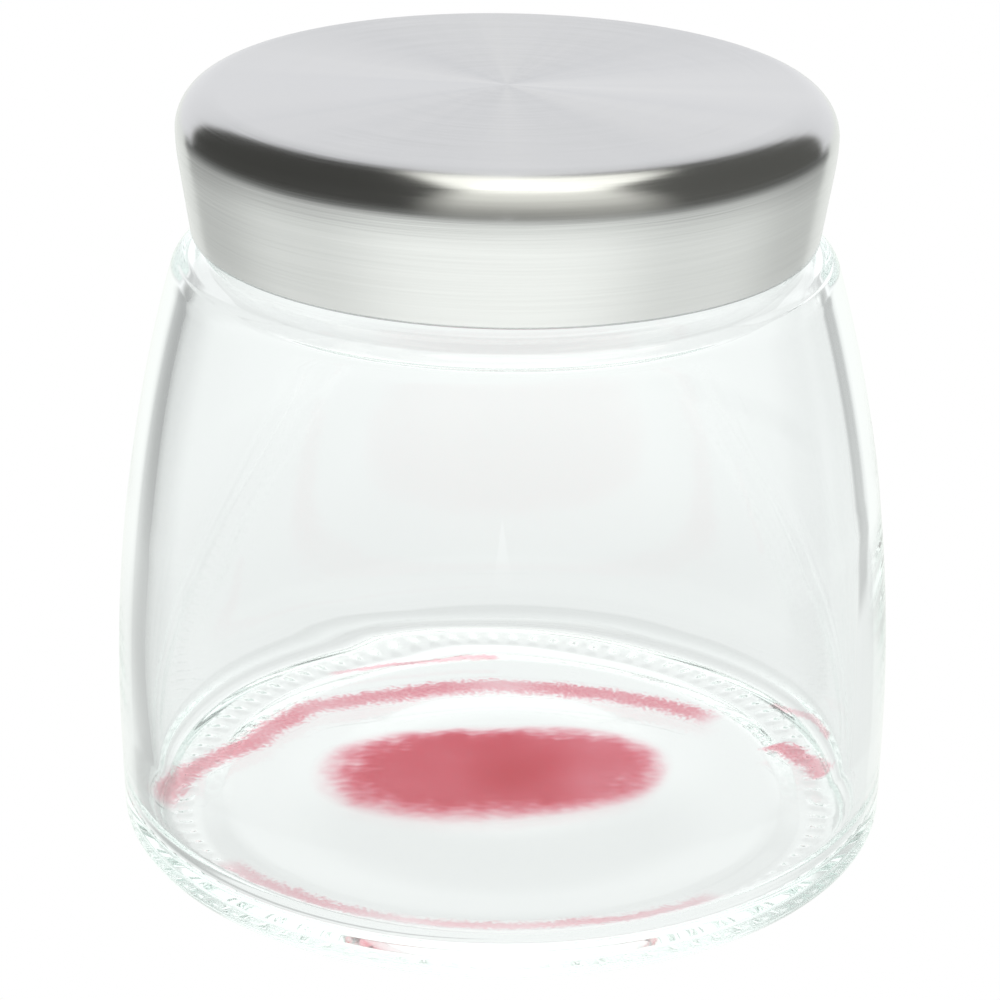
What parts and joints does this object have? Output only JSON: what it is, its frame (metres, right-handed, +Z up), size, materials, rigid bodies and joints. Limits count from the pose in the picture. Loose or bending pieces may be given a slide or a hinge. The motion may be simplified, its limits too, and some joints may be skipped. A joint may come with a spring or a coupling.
{
  "type": "candy jar",
  "caption": "Squat clear-glass candy jar with a full belly, a shoulder and a brushed stainless lid, empty but for a pink sugar stain on its floor.",
  "frame": {"origin": "middle of the ring that the jar stands on, at table height", "axes": "+Z up along the jar's axis; the front of the jar faces -Y and the sugar stain lies a little towards +Y"},
  "size_m": [0.1202, 0.1202, 0.1167],
  "materials": {
    "clear_glass": "clear soda-lime glass, fire-polished, faint green in the thick parts",
    "brushed_stainless": "circular brushed stainless steel, satin",
    "liner_foam": "matt off-white foamed liner",
    "sugar_film": "dried pink-red sugar film, slightly glossy"
  },
  "bodies": {
    "root": {"jar": "clear_glass", "lid": "brushed_stainless", "lid_liner": "liner_foam", "candy_residue": "sugar_film"}
  },
  "joints": []
}
